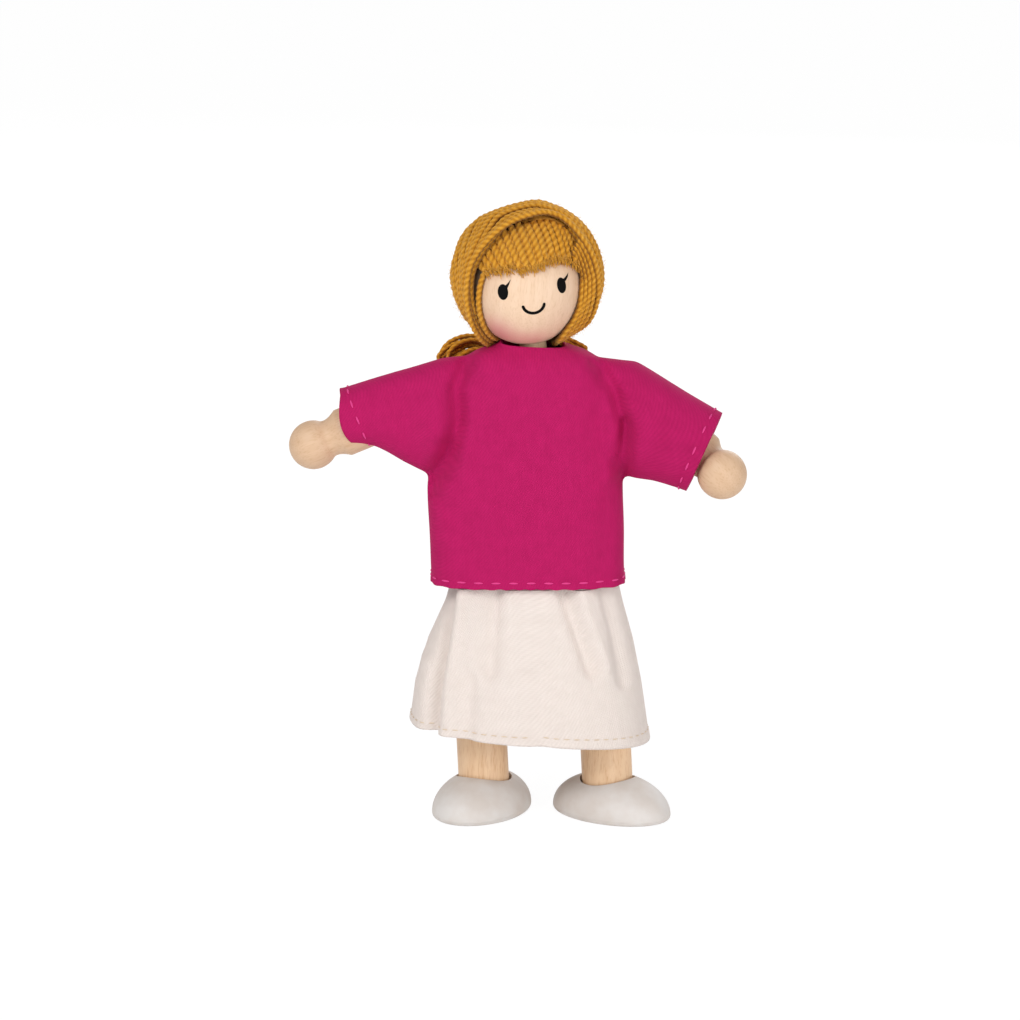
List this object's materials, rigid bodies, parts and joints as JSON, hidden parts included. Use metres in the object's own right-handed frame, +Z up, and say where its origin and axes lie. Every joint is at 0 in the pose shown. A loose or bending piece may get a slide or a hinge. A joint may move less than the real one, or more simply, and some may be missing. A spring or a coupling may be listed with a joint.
{
  "type": "dollhouse figure",
  "caption": "Jointed wooden dollhouse doll with a ball head, yarn hair, loose short-sleeved shirt and gathered skirt, standing on two egg-shaped feet.",
  "frame": {"origin": "middle of the footprint of the figure's bounding box, on the floor under its soles", "axes": "+Z up; the figure faces -Y, with its right arm towards -X and its left arm towards +X"},
  "size_m": [0.101, 0.0422, 0.1388],
  "materials": {
    "turned_wood": "sanded, thin clear satin coat",
    "leg_wood": "sanded, thin clear satin coat",
    "pin_wood": "plain dowel",
    "foot_paint": "matte off-white paint",
    "yarn": "twisted mustard yarn",
    "hair_elastic": "dark grey covered elastic",
    "shirt_cotton": "magenta cotton twill",
    "skirt_cotton": "ivory cotton twill",
    "waist_elastic": "white woven elastic",
    "hook_tape": "magenta hook tape",
    "loop_tape": "pale loop tape",
    "steel": "zinc-plated steel"
  },
  "bodies": {
    "torso": {"torso": "turned_wood", "neck_pin": "pin_wood", "right_shoulder_keeper_pin": "pin_wood", "left_shoulder_keeper_pin": "pin_wood", "hip_axle": "steel", "shirt": "shirt_cotton", "skirt": "skirt_cotton", "waist_elastic": "waist_elastic", "closure_hook_tape": "hook_tape", "closure_loop_tape": "loop_tape"},
    "neck": {"neck_peg": "turned_wood"},
    "head": {"head": "turned_wood", "head_keeper_pin": "pin_wood", "hair_wrap": "yarn", "hair_fringe": "yarn", "hair_tie": "hair_elastic", "ponytail": "yarn"},
    "right_shoulder": {"right_shoulder_peg": "turned_wood", "right_shoulder_pin": "pin_wood"},
    "right_arm": {"right_arm": "turned_wood"},
    "left_shoulder": {"left_shoulder_peg": "turned_wood", "left_shoulder_pin": "pin_wood"},
    "left_arm": {"left_arm": "turned_wood"},
    "right_leg": {"right_leg": "leg_wood", "right_foot_screw": "steel"},
    "right_foot": {"right_foot": "foot_paint"},
    "left_leg": {"left_leg": "leg_wood", "left_foot_screw": "steel"},
    "left_foot": {"left_foot": "foot_paint"}
  },
  "joints": [
    {"name": "neck_tilt", "type": "hinge", "parent": "torso", "child": "neck", "pos_m": [0.0047, 0.00376, 0.099], "axis": [0, 1, 0], "range_deg": [-5.2, 18.8], "deforming": ["ponytail", "hair_tie"]},
    {"name": "head_turn", "type": "hinge", "parent": "neck", "child": "head", "pos_m": [0.00227, 0.00376, 0.11936], "axis": [-0.1184, 0, 0.993], "range_deg": [-66, 54], "deforming": ["ponytail", "hair_tie"]},
    {"name": "right_arm_swing", "type": "hinge", "parent": "torso", "child": "right_shoulder", "pos_m": [-0.0163, 0.00376, 0.096], "axis": [-1, 0, 0], "range_deg": [-30, 90], "deforming": ["shirt"]},
    {"name": "right_arm_raise", "type": "hinge", "parent": "right_shoulder", "child": "right_arm", "pos_m": [-0.0163, 0.00376, 0.096], "axis": [0, 1, 0], "range_deg": [-62, 32], "deforming": ["shirt"]},
    {"name": "left_arm_swing", "type": "hinge", "parent": "torso", "child": "left_shoulder", "pos_m": [0.0257, 0.00376, 0.096], "axis": [-1, 0, 0], "range_deg": [-82.7, 37.3], "deforming": ["shirt"]},
    {"name": "left_arm_raise", "type": "hinge", "parent": "left_shoulder", "child": "left_arm", "pos_m": [0.0257, 0.00376, 0.096], "axis": [0, -0.606, 0.7955], "range_deg": [-33, 61], "deforming": ["shirt"]},
    {"name": "right_hip_swing", "type": "hinge", "parent": "torso", "child": "right_leg", "pos_m": [-0.00925, 0.00376, 0.0485], "axis": [-1, 0, 0], "range_deg": [-25, 90], "deforming": ["skirt"]},
    {"name": "right_foot_turn", "type": "hinge", "parent": "right_leg", "child": "right_foot", "pos_m": [-0.00719, 0.00376, 0], "axis": [0, 0, -1], "range_deg": [-34, 46]},
    {"name": "left_hip_swing", "type": "hinge", "parent": "torso", "child": "left_leg", "pos_m": [0.01865, 0.00376, 0.0485], "axis": [-1, 0, 0], "range_deg": [-28.5, 86.5], "deforming": ["skirt"]},
    {"name": "left_foot_turn", "type": "hinge", "parent": "left_leg", "child": "left_foot", "pos_m": [0.02071, 0.00118, 0], "axis": [0, 0, 1], "range_deg": [-59, 21]}
  ]
}
